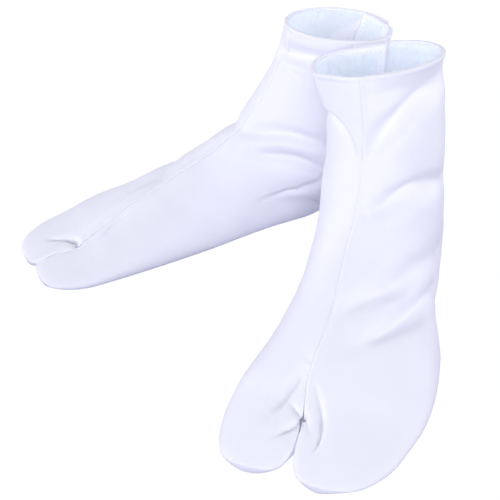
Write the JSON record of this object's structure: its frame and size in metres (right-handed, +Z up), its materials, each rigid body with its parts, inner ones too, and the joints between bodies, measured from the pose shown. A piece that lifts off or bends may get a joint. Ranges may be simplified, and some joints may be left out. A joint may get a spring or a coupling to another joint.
{
  "type": "pair of tabi socks",
  "caption": "Ankle-high split-toe socks, a left and a right, standing empty and filled out, with open tops and overlapping flaps at the back.",
  "frame": {"origin": "middle of the pair's footprint box, on the surface that the soles rest on", "axes": "+Z up; -Y towards the toes of the left sock; -X towards the toes of the right sock"},
  "size_m": [0.2926, 0.3414, 0.164],
  "materials": {
    "outer_cloth": "smooth white stretch tricot with a soft sheen",
    "sole_cloth": "matte white woven sole cloth",
    "lining": "napped flannel, very pale blue-white"
  },
  "bodies": {
    "root": {"left_medial_panel": "outer_cloth", "left_lateral_panel": "outer_cloth", "left_medial_lining": "lining", "left_lateral_lining": "lining", "left_sole": "sole_cloth", "right_medial_panel": "outer_cloth", "right_lateral_panel": "outer_cloth", "right_medial_lining": "lining", "right_lateral_lining": "lining", "right_sole": "sole_cloth"}
  },
  "joints": []
}
